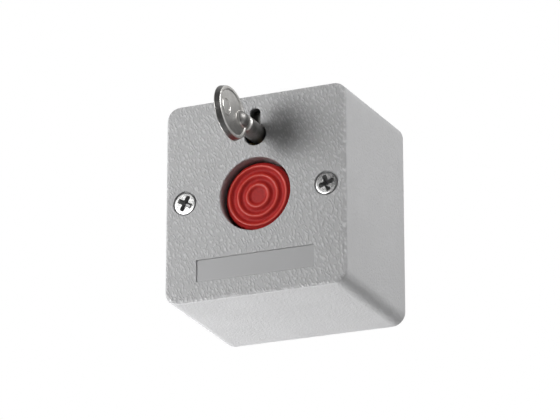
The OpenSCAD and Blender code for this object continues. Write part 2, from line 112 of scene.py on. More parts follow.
KEY_Z = (key_lo.z + key_hi.z) / 2
KEYHOLE_Z = KEY_Z - 0.7 * MM
KEYHOLE_R = 3.9 * MM
SLOT_HALF = 1.9 * MM
SLOT_TOP = KEY_Z + 8.7 * MM

CAP_GAP = 0.9 * MM
CAP_EDGE = 1.2 * MM                     # rounding of the cap's rim
CAP_R = WELL_R - CAP_GAP
CAP_TOP = cap_lo.y
RIDGE_H = 0.8 * MM
RIDGE_PITCH = 3.25 * MM
CAP_VALLEY = CAP_TOP + RIDGE_H
CAP_INSIDE = CAP_VALLEY + 1.8 * MM
CAP_INNER_R = CAP_R - 1.6 * MM
HUB_R = 4.8 * MM
HUB_BORE_R = 3.03 * MM
HUB_END = CAP_INSIDE + 5.2 * MM
FLANGE_R = cap_hi.x
FLANGE_FRONT = COLLAR_END + 0.3 * MM
FLANGE_REAR = cap_hi.y

SPRING_WIRE = 0.35 * MM
SPRING_TURNS = 6                        # the first and the last lie flat

KEY_REST = math.radians(4.2)            # anticlockwise from the slot
BOW_R = 9.15 * MM                       # round ends of the bow
BOW_HALF = 1.8 * MM                     # half of the straight part between them
BOW_Y = key_lo.y + BOW_R + BOW_HALF
BOW_T = 2.2 * MM                        # across the bow's rim
BOW_WEB = 0.75 * MM                     # half of the web inside it
BARREL_R = 3.15 * MM
SHOULDER = FRONT - 9.8 * MM
NECK_R = 1.9 * MM
BOSS_R = NECK_R + 1.1 * MM
BIT_HALF = SLOT_HALF - 0.3 * MM
BIT_LOW = KEY_Z + 2 * MM
BIT_NOTCH = KEY_Z + 5.8 * MM
BIT_TOP = SLOT_TOP - 0.4 * MM
BIT_STEPS = (                           # where each starts and ends along Y, and its top
    (-46 * MM, -43.4 * MM, BIT_TOP),
    (-43.5 * MM, -41.9 * MM, BIT_NOTCH),
    (-42 * MM, -39.5 * MM, BIT_TOP),
)
MARK_R = 2.8 * MM                       # the raised ring on each side of the bow
MARK_WIRE = 0.25 * MM
MARK_Y = BOW_Y - 4.8 * MM
MARK_Z = KEY_Z + 0.4 * MM


# ---------------------------------------------------------------- mesh helpers

def mesh_object(name, bm, sharp=35.0):
    """A linked object from a bmesh, smooth except across sharp edges."""
    bmesh.ops.remove_doubles(bm, verts=bm.verts, dist=1e-7)
    bmesh.ops.recalc_face_normals(bm, faces=bm.faces)
    mesh = bpy.data.meshes.new(name)
    bm.to_mesh(mesh)
    bm.free()
    obj = bpy.data.objects.new(name, mesh)
    bpy.context.scene.collection.objects.link(obj)
    soften(obj, sharp)
    return obj


def soften(obj, sharp):
    """Smooth shading that breaks where two faces meet at more than sharp degrees."""
    mesh = obj.data
    mesh.polygons.foreach_set("use_smooth", [True] * len(mesh.polygons))
    mesh.set_sharp_from_angle(angle=math.radians(sharp))


def weigh_normals(obj):
    """Large flat faces keep their own direction, and small round ones blend."""
    modifier = obj.modifiers.new("weighted", "WEIGHTED_NORMAL")
    modifier.keep_sharp = True
    modifier.weight = 80


def loft(rings, loop=False):
    """A solid skinned over closed rings of points, with flat ends or closed in a loop."""
    bm = bmesh.new()
    made = [[bm.verts.new(p) for p in ring] for ring in rings]
    count = len(made[0])
    pairs = list(zip(made, made[1:]))
    if loop:
        pairs.append((made[-1], made[0]))
    for a, b in pairs:
        for i in range(count):
            j = (i + 1) % count
            bm.faces.new((a[i], a[j], b[j], b[i]))
    if not loop:
        bm.faces.new(list(reversed(made[0])))
        bm.faces.new(made[-1])
    return bm


def circle(radius, steps):
    """Points round the origin in two dimensions."""
    return [(radius * math.cos(2 * PI * k / steps), radius * math.sin(2 * PI * k / steps))
            for k in range(steps)]


def lathe(profile, x=0.0, z=0.0, steps=96):
    """A solid from a chain of (radius, depth) points turned about a line along Y."""
    return loft([[(x + px, y, z + pz) for px, pz in circle(radius, steps)]
                 for radius, y in profile])


def quarter(steps):
    """Angles from 0 to 90 degrees, in radians."""
    return [math.radians(90 * k / steps) for k in range(steps + 1)]


def arc(cx, cy, radius, start, end, steps):
    """Points on an arc, angles in degrees."""
    points = []
    for k in range(steps + 1):
        a = math.radians(start + (end - start) * k / steps)
        points.append((cx + radius * math.cos(a), cy + radius * math.sin(a)))
    return points


def rounded_rect(w, h, r, steps=10):
    """The outline of a rectangle with round corners, in X and Z."""
    points = []
    for cx, cz, start in (
        (w / 2 - r, h / 2 - r, 0),
        (-w / 2 + r, h / 2 - r, 90),
        (-w / 2 + r, -h / 2 + r, 180),
        (w / 2 - r, -h / 2 + r, 270),
    ):
        points += arc(cx, cz, r, start, start + 90, steps)
    return points


def at_depth(outline, y):
    """A ring of points in space from an outline in X and Z."""
    return [(x, y, z) for x, z in outline]


def raised(outline, rise):
    return [(x, z + rise) for x, z in outline]


def grown(outline, amount):
    """The outline moved outwards along its own normals."""
    moved = []
    count = len(outline)
    for i, (x, z) in enumerate(outline):
        px, pz = outline[i - 1]
        nx, nz = outline[(i + 1) % count]
        tx, tz = nx - px, nz - pz
        size = math.hypot(tx, tz) or 1.0
        moved.append((x + amount * tz / size, z - amount * tx / size))
    return moved


def boolean(target, bm, operation):
    """Adds or cuts a bmesh solid, and keeps only the result."""
    tool = mesh_object("tool", bm)
    modifier = target.modifiers.new("cut", "BOOLEAN")
    modifier.operation = operation
    modifier.solver = "EXACT"
    modifier.object = tool
    graph = bpy.context.evaluated_depsgraph_get()
    result = bpy.data.meshes.new_from_object(target.evaluated_get(graph))
    target.modifiers.clear()
    old = target.data
    target.data = result
    bpy.data.meshes.remove(old)
    tool_mesh = tool.data
    bpy.data.objects.remove(tool)
    bpy.data.meshes.remove(tool_mesh)


# ---------------------------------------------------------------- materials

class Nodes:
    """Shorthands for the nodes of one tree."""

    def __init__(self, tree):
        self.tree = tree

    def node(self, kind, **settings):
        made = self.tree.nodes.new(kind)
        for setting, value in settings.items():
            setattr(made, setting, value)
        return made

    def link(self, a, b):
        self.tree.links.new(a, b)

    def axes(self, place):
        made = self.node("ShaderNodeSeparateXYZ")
        self.link(place, made.inputs[0])
        return made.outputs[0], made.outputs[1], made.outputs[2]

    def math(self, operation, *values):
        made = self.node("ShaderNodeMath", operation=operation)
        for slot, value in enumerate(values):
            if isinstance(value, (int, float)):
                made.inputs[slot].default_value = value
            else:
                self.link(value, made.inputs[slot])
        return made.outputs[0]

    def times(self, value, *others):
        for other in others:
            value = self.math("MULTIPLY", value, other)
        return value

    def plus(self, value, *others):
        for other in others:
            value = self.math("ADD", value, other)
        return value

    def minus(self, a, b):
        return self.math("SUBTRACT", a, b)

    def absolute(self, value):
        return self.math("ABSOLUTE", value)

    def distance(self, a, b):
        """From the origin of two axes."""
        return self.math("SQRT", self.plus(self.times(a, a), self.times(b, b)))

    def remap(self, value, low, high, to_low=0.0, to_high=1.0, smooth=False):
        made = self.node("ShaderNodeMapRange")
        made.interpolation_type = "SMOOTHSTEP" if smooth else "LINEAR"
        made.inputs["From Min"].default_value = low
        made.inputs["From Max"].default_value = high
        made.inputs["To Min"].default_value = to_low
        made.inputs["To Max"].default_value = to_high
        self.link(value, made.inputs["Value"])
        return made.outputs[0]

    def within(self, value, inner, outer, smooth=False):
        """1 up to the inner value, and 0 from the outer one on."""
        return self.remap(value, inner, outer, 1.0, 0.0, smooth)

    def spread(self, value, to_low=0.0, to_high=1.0):
        """Stretches the middle of a noise over the whole of a range."""
        return self.remap(value, 0.3, 0.7, to_low, to_high)


class Shader(Nodes):
    """A principled material, its textures placed by object coordinates."""

    def __init__(self, name, **sockets):
        self.material = bpy.data.materials.new(name)
        self.material.use_nodes = True
        super().__init__(self.material.node_tree)
        self.bsdf = self.tree.nodes["Principled BSDF"]
        self.place = self.node("ShaderNodeTexCoord").outputs["Object"]
        for socket, value in sockets.items():
            self.bsdf.inputs[socket.replace("_", " ")].default_value = value

    def mapped(self, scale=(1, 1, 1), turn=(0, 0, 0), source=None):
        """The place, turned and then stretched."""
        spin = self.node("ShaderNodeMapping")
        spin.inputs["Rotation"].default_value = [math.radians(t) for t in turn]
        self.link(source or self.place, spin.inputs["Vector"])
        stretch = self.node("ShaderNodeMapping")
        stretch.inputs["Scale"].default_value = scale
        self.link(spin.outputs[0], stretch.inputs["Vector"])
        return stretch.outputs[0]

    def noise(self, size, detail, rough, source=None, distortion=0.0, output=0):
        made = self.node("ShaderNodeTexNoise")
        made.inputs["Scale"].default_value = 1.0 / size
        made.inputs["Detail"].default_value = detail
        made.inputs["Roughness"].default_value = rough
        made.inputs["Distortion"].default_value = distortion
        self.link(source or self.place, made.inputs["Vector"])
        return made.outputs[output]

    def cells(self, size, source):
        """Distance from the middle of the nearest flat cell, in cell sizes."""
        made = self.node("ShaderNodeTexVoronoi", voronoi_dimensions="2D")
        made.inputs["Scale"].default_value = 1.0 / size
        self.link(source, made.inputs["Vector"])
        return made.outputs[0]

    def blend(self, amount, first, second):
        """A colour between two, by a value from 0 to 1."""
        made = self.node("ShaderNodeMix", data_type="RGBA")
        self.link(amount, made.inputs["Factor"])
        for slot, value in (("A", first), ("B", second)):
            socket = [s for s in made.inputs if s.name == slot and s.type == "RGBA"][0]
            if isinstance(value, tuple):
                socket.default_value = (*value, 1.0)
            else:
                self.link(value, socket)
        return [s for s in made.outputs if s.type == "RGBA"][0]

    def colour(self, value):
        self.link(value, self.bsdf.inputs["Base Color"])

    def roughness(self, value):
        self.link(value, self.bsdf.inputs["Roughness"])

    def relief(self, height, distance, strength=1.0):
        """A bump of that depth in metres."""
        made = self.node("ShaderNodeBump")
        made.inputs["Strength"].default_value = strength
        made.inputs["Distance"].default_value = distance
        self.link(height, made.inputs["Height"])
        self.link(made.outputs[0], self.bsdf.inputs["Normal"])


def cover_material():
    """Grey moulded plastic: leather grain in front with a painted highlight on its crests, fine
    grain on the sides, a smooth field.
    """
    dark, light = (0.425, 0.425, 0.43), (0.475, 0.475, 0.48)
    grain_painted_highlight = (0.62, 0.62, 0.625)
    smooth_field = (0.395, 0.395, 0.4)
    unlit = (0.08, 0.08, 0.08)
    grain_depth = 0.17 * MM
    soft = 0.1 * MM                     # fade at the field's edge

    s = Shader("cover_plastic", Specular_IOR_Level=0.35)
    x, y, z = s.axes(s.place)
    beside = s.absolute(x)
    front = s.within(y, FRONT + 0.25 * MM, FRONT + 0.6 * MM, smooth=True)
    label = s.times(
        s.within(beside, LABEL_W / 2 - soft, LABEL_W / 2),
        s.within(s.absolute(s.minus(z, LABEL_Z)), LABEL_H / 2 - soft, LABEL_H / 2),
        s.within(y, FRONT + 0.6 * MM, FRONT + 0.7 * MM))
    bare = s.minus(1.0, label)

    combined = s.node("ShaderNodeCombineXYZ")
    s.link(x, combined.inputs[0])
    s.link(z, combined.inputs[1])
    flat = combined.outputs[0]
    bent = s.node("ShaderNodeVectorMath", operation="MULTIPLY_ADD")
    s.link(s.noise(3.2 * MM, 1.0, 0.5, flat, output="Color"), bent.inputs[0])
    bent.inputs[1].default_value = (1.6 * MM, 1.6 * MM, 0)
    s.link(flat, bent.inputs[2])

    def flecks(size, turn, long, wide):
        place = s.mapped((1.0, 1 / long, 1.0), (0, 0, turn), bent.outputs[0])
        return s.within(s.cells(size, place), wide * 0.3, wide, smooth=True)

    crest = s.math("MAXIMUM", flecks(1.15 * MM, -26, 2.3, 0.4),
                   s.times(flecks(1.0 * MM, -6, 2.0, 0.34), 0.7))
    crest = s.times(crest, front, bare)
    side = s.times(s.noise(0.9 * MM, 3.0, 0.65), 1.9, s.minus(1.0, front), bare)
    fine = s.times(s.noise(0.25 * MM, 3.0, 0.6), 0.12)
    s.relief(s.plus(crest, side, fine), grain_depth)

    drift = s.noise(14 * MM, 3.0, 0.55)
    speck = s.noise(0.8 * MM, 2.0, 0.6)
    tone = s.plus(s.times(drift, 0.6), s.times(speck, 0.4))
    moulded = s.blend(s.spread(tone), dark, light)
    # painted highlight: the grain's crests are coloured lighter
    moulded = s.blend(s.times(crest, 0.72), moulded, grain_painted_highlight)
    moulded = s.blend(label, moulded, smooth_field)
    # painted shade: the inside of the keyhole is coloured near black
    in_keyhole = s.times(
        s.within(beside, KEYHOLE_R + 0.3 * MM, KEYHOLE_R + 0.5 * MM),
        s.within(s.absolute(s.minus(z, KEY_Z + 2 * MM)), 7.4 * MM, 7.6 * MM),
        s.remap(y, FRONT + 0.5 * MM, FRONT + 1.4 * MM))
    s.colour(s.blend(s.times(in_keyhole, 0.85), moulded, unlit))
    s.roughness(s.plus(s.spread(tone, 0.5, 0.6), s.times(label, -0.06)))
    return s.material


def button_material():
    """Red moulded plastic with a soft gloss, a little duller in its valleys, and a painted
    highlight that colours the ridge crests lighter.
    """
    deep, dusty, ridge_painted_highlight = (0.31, 0.004, 0.004), (0.44, 0.009, 0.006), (0.60, 0.04, 0.022)
    s = Shader("button_red", Specular_IOR_Level=0.4)
    y = s.axes(s.place)[1]
    crest = s.remap(y, CAP_TOP + RIDGE_H * 0.45, CAP_TOP + RIDGE_H * 0.05, smooth=True)
    low = s.blend(s.spread(s.noise(1.1 * MM, 4.0, 0.65)), deep, dusty)
    # painted highlight: the ridge crests are coloured a lighter orange-red
    s.colour(s.blend(s.times(crest, 0.7), low, ridge_painted_highlight))
    worn = s.times(s.noise(0.7 * MM, 3.0, 0.6), 0.16)
    s.roughness(s.plus(s.remap(crest, 0.0, 1.0, 0.58, 0.3), worn))
    s.relief(s.noise(0.4 * MM, 3.0, 0.6), 0.05 * MM, 0.7)
    return s.material


def plastic_material(name, dark, light, rough):
    """Moulded plastic of one colour: cloudy tone, fine grain, a few scuffs."""
    s = Shader(name, Specular_IOR_Level=0.4)
    s.colour(s.blend(s.spread(s.noise(6 * MM, 4.0, 0.6)), dark, light))
    scuff = s.noise(1.2 * MM, 4.0, 0.7, s.mapped((1, 1, 0.2), (20, 10, 30)))
    s.roughness(s.spread(scuff, rough - 0.06, rough + 0.08))
    s.relief(s.noise(0.3 * MM, 3.0, 0.6), 0.05 * MM, 0.8)
    return s.material


def metal_material(name, dark, light, rough, stretch=(1, 1, 0.08)):
    """Plated or drawn metal: drawn lines, stains in the tone, worn patches in the gloss."""
    s = Shader(name, Metallic=1.0)
    s.colour(s.blend(s.spread(s.noise(2.5 * MM, 4.0, 0.65)), dark, light))
    worn = s.noise(1.1 * MM, 4.0, 0.7, distortion=0.4)
    s.roughness(s.spread(worn, rough * 0.75, rough * 1.35))
    drawn = s.noise(0.25 * MM, 3.0, 0.6, s.mapped(stretch))
    pits = s.noise(0.5 * MM, 3.0, 0.7)
    s.relief(s.plus(drawn, s.times(pits, 0.5)), 0.02 * MM, 0.7)
    return s.material


def nickel_material():
    """Worn nickel on the key: bright edges, a brushed web and a rougher barrel, with painted
    dark reflection on the barrel, the neck and the rim's band, and painted shade on the web
    towards the bottom.
    """
    s = Shader("nickel", Metallic=1.0)
    x, y, z = s.axes(s.place)
    above = s.minus(z, KEY_Z)
    along = s.times(s.minus(y, BOW_Y), BOW_R / (BOW_R + BOW_HALF))
    across = s.absolute(s.plus(x, s.times(above, math.tan(KEY_REST))))
    web = s.within(across, BOW_WEB + 0.1 * MM, BOW_WEB + 0.3 * MM)
    middle = s.within(across, BOW_T / 2 - 0.3 * MM, BOW_T / 2 - 0.2 * MM)
    rim = s.remap(s.distance(above, along), BOW_R - 0.75 * MM, BOW_R - 0.6 * MM)
    # the neck is taken out of the bow, so it gets the barrel's painted dark colour
    neck = s.times(s.remap(across, 1.25 * MM, 1.45 * MM),
                   s.within(y, SHOULDER - 0.6 * MM, SHOULDER - 0.2 * MM))
    bow = s.times(s.within(y, SHOULDER + 0.4 * MM, SHOULDER + 1.4 * MM),
                  s.minus(1.0, neck))
    brushed = s.times(web, bow)

    stain = s.spread(s.noise(2.2 * MM, 4.0, 0.65))
    bright = s.blend(stain, (0.46, 0.45, 0.43), (0.62, 0.61, 0.59))
    # painted dark reflection: the barrel and the neck, where the bow mask is 0, are coloured
    # dark
    barrel_painted_dark = s.blend(stain, (0.15, 0.147, 0.142), (0.23, 0.226, 0.218))
    # painted dark reflection on the rim's outer band, and painted shade on the web's lower part
    band_and_web_painted_dark = s.blend(stain, (0.15, 0.147, 0.143), (0.23, 0.226, 0.22))
    # painted shade: the brushed web is coloured darker towards the bottom
    web_painted_shade = s.times(brushed, s.remap(above, -8 * MM, 4 * MM, 0.6, 0.0, smooth=True))
    shiny = s.blend(s.math("MAXIMUM", s.times(rim, middle), web_painted_shade), bright, band_and_web_painted_dark)
    s.colour(s.blend(bow, barrel_painted_dark, shiny))

    level = s.remap(bow, 0.0, 1.0, 0.42, 0.15)
    edges = s.times(s.minus(1.0, brushed), bow, 0.2)
    worn = s.times(s.spread(s.noise(0.9 * MM, 4.0, 0.7)), 0.12)
    s.roughness(s.plus(level, edges, worn, s.times(brushed, 0.12)))
    lines = s.noise(0.16 * MM, 2.0, 0.6, s.mapped((0.3, 0.12, 1.0), (22, 0, 0)))
    pits = s.noise(0.55 * MM, 4.0, 0.7)
    s.relief(s.plus(s.times(lines, brushed), s.times(pits, 0.8)), 0.05 * MM, 0.7)
    return s.material


def turned_material(name, dark, light, rough):
    """Zinc on screw heads: faint rings round each screw's own axis, and a rougher, darker
    cross, coloured with dirt and painted shade.
    """
    ring_pitch = 0.32 * MM
    s = Shader(name, Metallic=1.0)
    x, y, z = s.axes(s.place)
    radius = s.distance(s.minus(s.absolute(x), SCREW_X), z)
    wobble = s.times(s.noise(0.9 * MM, 2.0, 0.5), 0.35 * MM)
    rings = s.math("SINE", s.times(s.plus(radius, wobble), 2 * PI / ring_pitch))
    # dirt and painted shade in the cross: coloured darker and made rougher inside it
    cross_dirt_and_shade = s.times(s.remap(y, screw_lo.y + 0.05 * MM, screw_lo.y + 0.5 * MM),
                     s.within(radius, 3.0 * MM, 3.1 * MM))
    head = s.blend(s.spread(s.noise(1.4 * MM, 4.0, 0.65)), dark, light)
    s.colour(s.blend(s.times(cross_dirt_and_shade, 0.85), head, (0.27, 0.27, 0.27)))
    worn = s.spread(s.noise(0.8 * MM, 3.0, 0.7), rough * 0.8, rough * 1.3)
    s.roughness(s.plus(worn, s.times(cross_dirt_and_shade, 0.35)))
    pits = s.noise(0.6 * MM, 4.0, 0.7)
    s.relief(s.plus(s.times(rings, 0.12), pits), 0.014 * MM, 0.7)
    return s.material


def board_material():
    """Green solder mask over copper tracks."""
    track_pitch = 6 * MM
    s = Shader("board_green", Specular_IOR_Level=0.5, Coat_Weight=0.3, Coat_Roughness=0.2)
    grid = s.node("ShaderNodeTexBrick")
    grid.inputs["Scale"].default_value = 1 / track_pitch
    grid.inputs["Mortar Size"].default_value = 0.02
    s.link(s.mapped(turn=(90, 0, 0)), grid.inputs["Vector"])
    track = grid.outputs["Fac"]
    mask = s.blend(s.noise(5 * MM, 3.0, 0.6), (0.012, 0.10, 0.05), (0.02, 0.15, 0.075))
    s.colour(s.blend(track, mask, (0.035, 0.22, 0.10)))
    s.roughness(s.spread(s.noise(2 * MM, 3.0, 0.6), 0.28, 0.42))
    s.relief(track, 0.03 * MM, 0.6)
    return s.material


def floor_material():
    """White paint that looks a little brighter to the camera than the lamps make it."""
    s = Shader("floor_paint", Roughness=0.7, Emission_Color=(1, 1, 1, 1))
    s.colour(s.blend(s.noise(0.2, 3.0, 0.5), (0.86, 0.86, 0.86), (0.9, 0.9, 0.9)))
    path = s.node("ShaderNodeLightPath")
    glow = s.times(path.outputs["Is Camera Ray"], 0.55)
    s.link(glow, s.bsdf.inputs["Emission Strength"])
    return s.material


MATERIALS = {
    "cover_plastic": cover_material(),
    "button_red": button_material(),
    "dark_plastic": plastic_material(
        "dark_plastic", (0.018, 0.018, 0.02), (0.03, 0.03, 0.032), 0.5),
    "natural_plastic": plastic_material(
        "natural_plastic", (0.56, 0.54, 0.47), (0.66, 0.64, 0.57), 0.42),
    "terminal_plastic": plastic_material(
        "terminal_plastic", (0.02, 0.16, 0.08), (0.03, 0.21, 0.11), 0.4),
    "board_green": board_material(),
    "zinc_steel": turned_material("zinc_steel", (0.26, 0.26, 0.26), (0.38, 0.38, 0.375), 0.2),
    "spring_steel": metal_material(
        "spring_steel", (0.40, 0.42, 0.45), (0.55, 0.57, 0.60), 0.28),
    "brass": metal_material(
        "brass", (0.62, 0.44, 0.17), (0.78, 0.60, 0.28), 0.3, stretch=(0.1, 1, 1)),
    "tinned": metal_material("tinned", (0.62, 0.62, 0.60), (0.78, 0.78, 0.76), 0.3),
    "nickel": nickel_material(),
}


def dress(obj, slot):
    """Gives a piece one of the record's finishes."""
    obj.data.materials.clear()
    obj.data.materials.append(MATERIALS[slot])
    obj.data.polygons.foreach_set("material_index", [0] * len(obj.data.polygons))
    obj.data.update()


# ---------------------------------------------------------------- cover

def lip_cutter(outline, depth):
    """A cutter along Y whose mouth opens in a quarter round at the front face."""
    rings = [at_depth(grown(outline, LIP), FRONT - PAST)]
    for a in quarter(5):
        rings.append(at_depth(
            grown(outline, LIP * (1 - math.sin(a))), FRONT + LIP * (1 - math.cos(a))))
    rings.append(at_depth(outline, depth))
    return loft(rings)


def keyhole_outline():
    """A round hole with a round-topped slot above it."""
    meet = math.degrees(math.acos(SLOT_HALF / KEYHOLE_R))
    points = arc(0, KEYHOLE_Z, KEYHOLE_R, 180 - meet, 360 + meet, 40)
    top = SLOT_TOP - SLOT_HALF
    return points + arc(0, top, SLOT_HALF, 0, 180, 16)


def box_ring(w, h, r, y):
    return at_depth(rounded_rect(w, h, r), y)


def cover_rings():
    """The cover's outside, from the rounded rim on the wall to the rounded front edge."""
    rings = []
    for a in quarter(3):
        inset = REAR_EDGE_R * (1 - math.sin(a))
        rings.append(box_ring(REAR_W - 2 * inset, REAR_H - 2 * inset, CORNER_R,
                              REAR - REAR_EDGE_R * (1 - math.cos(a))))
    for share in (0.25, 0.5, 0.75):
        shrink = 2 * DRAFT * share
        rings.append(box_ring(REAR_W - shrink, REAR_H - shrink, CORNER_R,
                              REAR + (FRONT + EDGE_R - REAR) * share))
    for a in quarter(8):
        inset = EDGE_R * (1 - math.cos(a))
        rings.append(box_ring(FRONT_W - 2 * inset, FRONT_H - 2 * inset, CORNER_R - inset,
                              FRONT + EDGE_R * (1 - math.sin(a))))
    return rings


def label_cutter():
    """The field's recess, with a soft step down inside its outline."""
    field = raised(rounded_rect(LABEL_W, LABEL_H, 0.25 * MM, 4), LABEL_Z)
    steps = ((0, -PAST), (0, 0), (0.12 * MM, 0.08 * MM), (0.18 * MM, 0.22 * MM),
             (0.2 * MM, LABEL_DEPTH))
    return loft([at_depth(grown(field, -inset), FRONT + depth) for inset, depth in steps])


def front_cover():
    cover = mesh_object("cover_shell", loft(cover_rings()))
    inner_w, inner_h = REAR_W - 2 * SIDE_WALL, REAR_H - 2 * SIDE_WALL
    hollow = loft([
        box_ring(inner_w, inner_h, INNER_R, REAR + PAST),
        box_ring(inner_w, inner_h, INNER_R, REAR),
        box_ring(FRONT_W - 2 * SIDE_WALL, FRONT_H - 2 * SIDE_WALL, INNER_R, INNER),
    ])
    boolean(cover, hollow, "DIFFERENCE")

    boolean(cover, lathe([(COLLAR_R, INNER - INTO), (COLLAR_R, COLLAR_END)]), "UNION")
    for side in (-1, 1):
        boss = [(SCREW_BOSS_R, INNER - INTO), (SCREW_BOSS_R, INNER + 3 * MM)]
        boolean(cover, lathe(boss, side * SCREW_X), "UNION")

    boolean(cover, lip_cutter(circle(WELL_R, 128), COLLAR_END + PAST), "DIFFERENCE")
    boolean(cover, lip_cutter(keyhole_outline(), INNER + PAST), "DIFFERENCE")
    countersink = [(SINK_MOUTH_R, FRONT - PAST), (SINK_MOUTH_R, FRONT),
                   (SINK_R, FRONT + 0.15 * MM), (SINK_R, FRONT + 0.4 * MM),
                   (SCREW_HOLE_R, FRONT + 2.4 * MM), (SCREW_HOLE_R, INNER + 4 * MM)]
    for side in (-1, 1):
        boolean(cover, lathe(countersink, side * SCREW_X, steps=64), "DIFFERENCE")
    boolean(cover, label_cutter(), "DIFFERENCE")

    soften(cover, 40.0)
    weigh_normals(cover)
    dress(cover, "cover_plastic")
    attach(cover, "housing")
    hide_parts("front_cover")


# ---------------------------------------------------------------- button

def ridge(radius):
    """Depth of the cap's front at a radius: a dished centre and three round ridges."""
    first = 1.2 * RIDGE_PITCH           # crest of the innermost ridge
    dish = RIDGE_H * 0.78
    if radius < first:
        fall = min(1.0, (first - radius) / (0.5 * RIDGE_PITCH))
        return CAP_TOP + dish * (0.5 - 0.5 * math.cos(PI * fall))
    wave = 0.5 + 0.5 * math.cos(2 * PI * (radius - first) / RIDGE_PITCH)
    return CAP_VALLEY - RIDGE_H * wave


def button_cap():
    steps = 90
    face_r = CAP_R - CAP_EDGE
    rim = CAP_VALLEY - 0.2 * MM         # where the rounded edge starts
    profile = [(face_r * k / steps, ridge(face_r * k / steps)) for k in range(1, steps + 1)]
    profile += [(face_r + CAP_EDGE * math.sin(a), rim + CAP_EDGE * (1 - math.cos(a)))
                for a in quarter(6)[1:]]
    profile += [(CAP_R, FLANGE_FRONT), (FLANGE_R, FLANGE_FRONT), (FLANGE_R, FLANGE_REAR),
                (CAP_INNER_R, FLANGE_REAR), (CAP_INNER_R, CAP_INSIDE),
                (HUB_R, CAP_INSIDE), (HUB_R, HUB_END),
                (HUB_BORE_R, HUB_END), (HUB_BORE_R, CAP_INSIDE), (0.2 * MM, CAP_INSIDE)]
    cap = mesh_object("button_dome", lathe(profile, steps=128), sharp=50.0)
    dress(cap, "button_red")
    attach(cap, "button")
    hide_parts("button_cap")


def return_spring():
    """A coil with flat end turns."""
    per_turn = 48                       # rings in one turn of the coil
    length = spring_hi.y - spring_lo.y - 2 * SPRING_WIRE
    flat = 2.2 * SPRING_WIRE
    pitch = (length - 2 * flat) / (SPRING_TURNS - 2)
    middle = spring_hi.x - SPRING_WIRE
    section = circle(SPRING_WIRE, 10)
    rings = []
    for k in range(SPRING_TURNS * per_turn + 1):
        turn = k / per_turn
        open_turns = min(max(turn - 1, 0), SPRING_TURNS - 2)
        y = spring_lo.y + SPRING_WIRE + open_turns * pitch + (turn - open_turns) * flat
        a = 2 * PI * turn
        rings.append([((middle + out) * math.cos(a), y + rise, (middle + out) * math.sin(a))
                      for out, rise in section])
    spring = mesh_object("button_spring", loft(rings), sharp=60.0)
    dress(spring, "spring_steel")
    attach(spring, "housing")
    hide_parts("return_spring")
    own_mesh(spring)


# ---------------------------------------------------------------- screws

def cross_cutter(x, turn):
    """One bar of the driver's cross, tapering into the head."""
    top = screw_lo.y
    a = math.radians(turn)
    rings = []
    for y, half_long, half_wide in (
        (top - 0.5 * MM, 2.95 * MM, 0.84 * MM),
        (top, 2.85 * MM, 0.8 * MM),
        (top + 1.0 * MM, 2.3 * MM, 0.6 * MM),
        (top + CROSS_DEPTH, 0.9 * MM, 0.34 * MM),
    ):
        rings.append([
            (x + u * math.cos(a) - v * math.sin(a), y, u * math.sin(a) + v * math.cos(a))
            for u, v in rounded_rect(2 * half_long, 2 * half_wide, half_wide * 0.5, 3)
        ])
    return loft(rings)


def screw_profile():
    """Radius and depth of a screw: a flat head with a rounded edge, a cone and a thread."""
    top = screw_lo.y
    axis = 0.05 * MM                    # as near to the middle as the rings come
    head_r = HEAD_R - 0.15 * MM
    edge_r = 0.12 * MM
    neck = top + HEAD_R - 1.85 * MM
    profile = [(axis, top), (head_r - 0.6 * MM, top + 0.01 * MM),
               (head_r - 0.4 * MM, top + 0.02 * MM)]
    profile += [(head_r - edge_r + edge_r * math.sin(a),
                 top + 0.16 * MM - edge_r * math.cos(a)) for a in quarter(3)]
    profile += [(head_r, top + 0.2 * MM), (SHANK_R, neck)]
    y = neck + 0.4 * MM
    while y < screw_hi.y - 0.8 * MM:
        profile += [(THREAD_R, y), (THREAD_R, y + 0.1 * MM),
                    (THREAD_ROOT_R, y + 0.35 * MM), (THREAD_ROOT_R, y + 0.4 * MM)]
        y += THREAD_PITCH
    return profile + [(1.5 * MM, screw_hi.y), (axis, screw_hi.y)]


def cover_screws():
    for name, x, turn in (("screw_left", -SCREW_X, -28), ("screw_right", SCREW_X, 17)):
        screw = mesh_object(name, lathe(screw_profile(), x, steps=64))
        for bar in (0, 90):
            boolean(screw, cross_cutter(x, turn + bar), "DIFFERENCE")
        soften(screw, 35.0)
        weigh_normals(screw)
        dress(screw, "zinc_steel")
        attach(screw, "housing")
        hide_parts("cover_screws")


# ---------------------------------------------------------------- key

def oval_x(profile, y, z, half, steps):
    """Carries (radius, x) points round an oval that is longer along Y by twice half."""
    rings = []
    for radius, x in profile:
        rings.append([(x, y + (half + radius) * math.cos(2 * PI * k / steps),
                       z + radius * math.sin(2 * PI * k / steps)) for k in range(steps)])
    return loft(rings)


def torus_x(ring_r, wire_r, x, y, z):
    """A ring of round wire about a line along X."""
    steps = 64
    rings = []
    for k in range(steps):
        a = 2 * PI * k / steps
        rings.append([(x + side, y + (ring_r + out) * math.cos(a),
                       z + (ring_r + out) * math.sin(a)) for out, side in circle(wire_r, 12)])
    return loft(rings, loop=True)


def bow_profile():
    """Section of the bow: a thin web inside a rim that narrows a little to the right."""
    half_rim = BOW_T / 2
    rim_width = 1.05 * MM
    narrow = 0.35 * MM
    rounding = 0.3 * MM
    fillet = 0.25 * MM

    def face(side, outer):
        step = outer - rim_width
        web_r = step - 0.45 * MM
        points = [(0.05 * MM, BOW_WEB), (web_r, BOW_WEB)]
        points += [(web_r + fillet * math.sin(a), BOW_WEB + fillet * (1 - math.cos(a)))
                   for a in (math.radians(25), math.radians(50))]
        points += [(step - 0.1 * MM, half_rim - 0.14 * MM), (step, half_rim - 0.03 * MM),
                   (step + 0.12 * MM, half_rim)]
        points += [(outer - rounding + rounding * math.sin(a),
                    half_rim - rounding * (1 - math.cos(a))) for a in quarter(6)]
        return [(r, side * x) for r, x in points]

    return face(-1, BOW_R) + list(reversed(face(1, BOW_R - narrow)))


